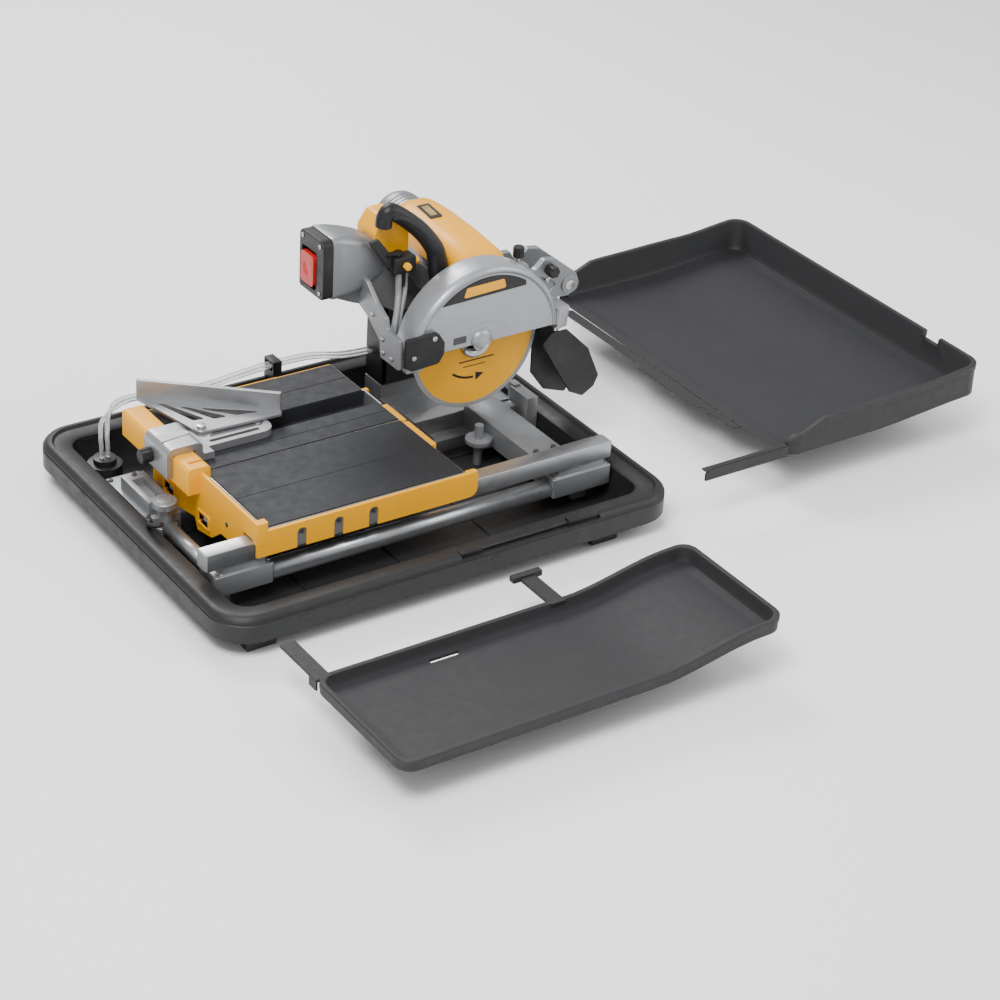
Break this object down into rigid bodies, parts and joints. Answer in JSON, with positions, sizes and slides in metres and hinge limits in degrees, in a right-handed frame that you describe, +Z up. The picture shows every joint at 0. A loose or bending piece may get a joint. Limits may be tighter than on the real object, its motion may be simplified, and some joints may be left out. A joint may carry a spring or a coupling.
{
  "type": "tile cutter",
  "caption": "Wet tile saw on a black water pan, with a sliding table, an overhead plunging and tilting saw head, an angle guide and two detachable splash trays.",
  "frame": {"origin": "centre of the water pan's flat underside, on the surface it rests on", "axes": "+X the way the cart rolls past the blade, +Y across the machine towards the motor, +Z up"},
  "size_m": [1.558, 1.16, 0.5187],
  "materials": {
    "pan_plastic": "moulded black plastic, fine grain",
    "tray_plastic": "moulded black plastic, fine grain",
    "black_plastic": "black plastic",
    "silver_paint": "silver-grey painted castings",
    "rail_aluminium": "clear anodised aluminium",
    "cart_grey": "grey painted sheet",
    "cart_yellow": "yellow powder coat",
    "black_rubber": "ribbed black rubber",
    "yellow_plastic": "yellow plastic",
    "guard_paint": "grey painted guard",
    "guide_aluminium": "cast aluminium",
    "steel": "zinc plated or ground steel",
    "blade_steel": "diamond blade, yellow core with a grey rim",
    "roller_plastic": "hard black acetal",
    "motor_metal": "dark steel",
    "belt_rubber": "ribbed belt",
    "red_plastic": "red plastic",
    "clear_hose": "clear vinyl",
    "valve_brass": "brass and grey tube"
  },
  "bodies": {
    "frame": {"water_pan": "pan_plastic", "tray_catch": "steel", "front_upper_rail": "rail_aluminium", "front_lower_tube": "silver_paint", "front_left_casting": "silver_paint", "front_right_casting": "silver_paint", "left_cross_tube": "silver_paint", "left_rear_casting": "silver_paint", "rear_rail": "rail_aluminium", "base_casting": "silver_paint", "column": "silver_paint", "frame_bolts": "steel", "water_pump": "black_plastic", "pump_hoses": "clear_hose", "hose_clip": "black_plastic"},
    "cart": {"cart_frame": "cart_yellow", "table_plate": "cart_grey", "table_mats": "black_rubber", "fence_ruler": "rail_aluminium", "end_bumper": "black_plastic", "roller_axles": "steel", "rear_roller_bracket": "cart_grey"},
    "front_roller_a_wheel": {"front_roller_a": "roller_plastic"},
    "front_roller_b_wheel": {"front_roller_b": "roller_plastic"},
    "rear_roller_a_wheel": {"rear_roller_a": "roller_plastic"},
    "rear_roller_b_wheel": {"rear_roller_b": "roller_plastic"},
    "guide_base": {"guide_clamp": "silver_paint", "guide_pivot_pin": "steel"},
    "guide_fence": {"guide_plate": "guide_aluminium"},
    "guide_knob_set": {"guide_knob": "black_plastic"},
    "yoke": {"head_yoke": "silver_paint", "yoke_pins": "steel"},
    "bevel_knob_set": {"bevel_lock_knob": "black_plastic"},
    "head": {"gearbox_housing": "silver_paint", "spindle_bearing": "steel", "motor_housing": "motor_metal", "motor_end_cap": "black_plastic", "field_coil": "motor_metal", "drive_belt": "belt_rubber", "motor_cover": "yellow_plastic", "switch_housing": "silver_paint", "front_cover": "yellow_plastic", "handle": "black_plastic", "switch_box": "black_plastic", "blade_guard": "guard_paint", "nozzle_block": "black_plastic", "flap_bracket": "silver_paint", "splash_flaps": "black_rubber", "water_valve": "valve_brass"},
    "spindle_set": {"spindle": "steel", "blade": "blade_steel", "blade_clamp": "steel"},
    "armature_set": {"armature": "steel"},
    "depth_knob_set": {"depth_knob": "black_plastic"},
    "plunge_lock_set": {"plunge_lock_knob": "black_plastic"},
    "paddle": {"switch_paddle": "red_plastic"},
    "valve_lever_set": {"valve_lever": "valve_brass"},
    "plug": {"drain_plug": "black_plastic"},
    "rear_tray_set": {"rear_tray": "tray_plastic"},
    "side_tray_set": {"side_tray": "tray_plastic"}
  },
  "joints": [
    {"name": "cart_slide", "type": "slide", "parent": "frame", "child": "cart", "axis": [1, 0, 0], "range_m": [0, 0.46], "deforming": ["splash_flaps"]},
    {"name": "bevel_tilt", "type": "hinge", "parent": "frame", "child": "yoke", "pos_m": [0.335, 0.055, 0.262], "axis": [1, 0, 0], "range_deg": [0, 45]},
    {"name": "plunge", "type": "hinge", "parent": "yoke", "child": "head", "pos_m": [0.44, 0.04, 0.31], "axis": [0, 1, 0], "range_deg": [0, 25]},
    {"name": "blade_spin", "type": "hinge", "parent": "head", "child": "spindle_set", "pos_m": [0.227, -0.018, 0.262], "axis": [0, 1, 0], "continuous": true},
    {"name": "armature_spin", "type": "hinge", "parent": "head", "child": "armature_set", "pos_m": [0.258, 0.15, 0.365], "axis": [0, 1, 0], "continuous": true},
    {"name": "guide_slide", "type": "slide", "parent": "cart", "child": "guide_base", "axis": [0, 1, 0], "range_m": [-0.045, 0.03]},
    {"name": "guide_swing", "type": "hinge", "parent": "guide_base", "child": "guide_fence", "pos_m": [-0.25, 0.082, 0.163], "axis": [0, 0, 1], "range_deg": [-45, 0]},
    {"name": "guide_knob_turn", "type": "hinge", "parent": "guide_base", "child": "guide_knob_set", "pos_m": [-0.358, 0.068, 0.15], "axis": [1, 0, 0], "range_deg": [0, 360]},
    {"name": "bevel_knob_turn", "type": "hinge", "parent": "yoke", "child": "bevel_knob_set", "pos_m": [0.389, 0.055, 0.262], "axis": [1, 0, 0], "range_deg": [0, 90]},
    {"name": "depth_knob_turn", "type": "hinge", "parent": "head", "child": "depth_knob_set", "pos_m": [0.331, 0.014, 0.384], "axis": [0, 0, 1], "range_deg": [0, 360]},
    {"name": "plunge_lock_turn", "type": "hinge", "parent": "head", "child": "plunge_lock_set", "pos_m": [0.394, -0.002, 0.35], "axis": [0, 1, 0], "range_deg": [0, 360]},
    {"name": "paddle_press", "type": "slide", "parent": "head", "child": "paddle", "axis": [1, 0, 0], "range_m": [0, 0.004], "stiffness_N_per_m": 400},
    {"name": "valve_turn", "type": "hinge", "parent": "head", "child": "valve_lever_set", "pos_m": [0.11, 0.053, 0.42], "axis": [0, 0, 1], "range_deg": [0, 90]},
    {"name": "drain_plug_pull", "type": "slide", "parent": "frame", "child": "plug", "axis": [0, -1, 0], "range_m": [0, 0.03]},
    {"name": "rear_tray_dock", "type": "slide", "parent": "frame", "child": "rear_tray_set", "axis": [-1, 0, 0], "range_m": [0, 0.22]},
    {"name": "side_tray_dock", "type": "slide", "parent": "frame", "child": "side_tray_set", "axis": [0, 1, 0], "range_m": [0, 0.172]},
    {"name": "front_roller_a_roll", "type": "hinge", "parent": "cart", "child": "front_roller_a_wheel", "pos_m": [-0.234, -0.205, 0.1303], "axis": [0, 1, 0], "range_deg": [0, 2940]},
    {"name": "front_roller_b_roll", "type": "hinge", "parent": "cart", "child": "front_roller_b_wheel", "pos_m": [-0.099, -0.205, 0.1303], "axis": [0, 1, 0], "range_deg": [0, 2940]},
    {"name": "rear_roller_a_roll", "type": "hinge", "parent": "cart", "child": "rear_roller_a_wheel", "pos_m": [-0.2, 0.105, 0.0693], "axis": [0, 1, 0], "range_deg": [0, 2940]},
    {"name": "rear_roller_b_roll", "type": "hinge", "parent": "cart", "child": "rear_roller_b_wheel", "pos_m": [-0.084, 0.105, 0.0693], "axis": [0, 1, 0], "range_deg": [0, 2940]}
  ],
  "couplings": [
    {"joint": "armature_spin", "follows": "blade_spin", "ratio": 2.6814},
    {"joint": "front_roller_a_roll", "follows": "cart_slide", "rad_per_m": 111.11},
    {"joint": "front_roller_b_roll", "follows": "cart_slide", "rad_per_m": 111.11},
    {"joint": "rear_roller_a_roll", "follows": "cart_slide", "rad_per_m": 111.11},
    {"joint": "rear_roller_b_roll", "follows": "cart_slide", "rad_per_m": 111.11}
  ]
}
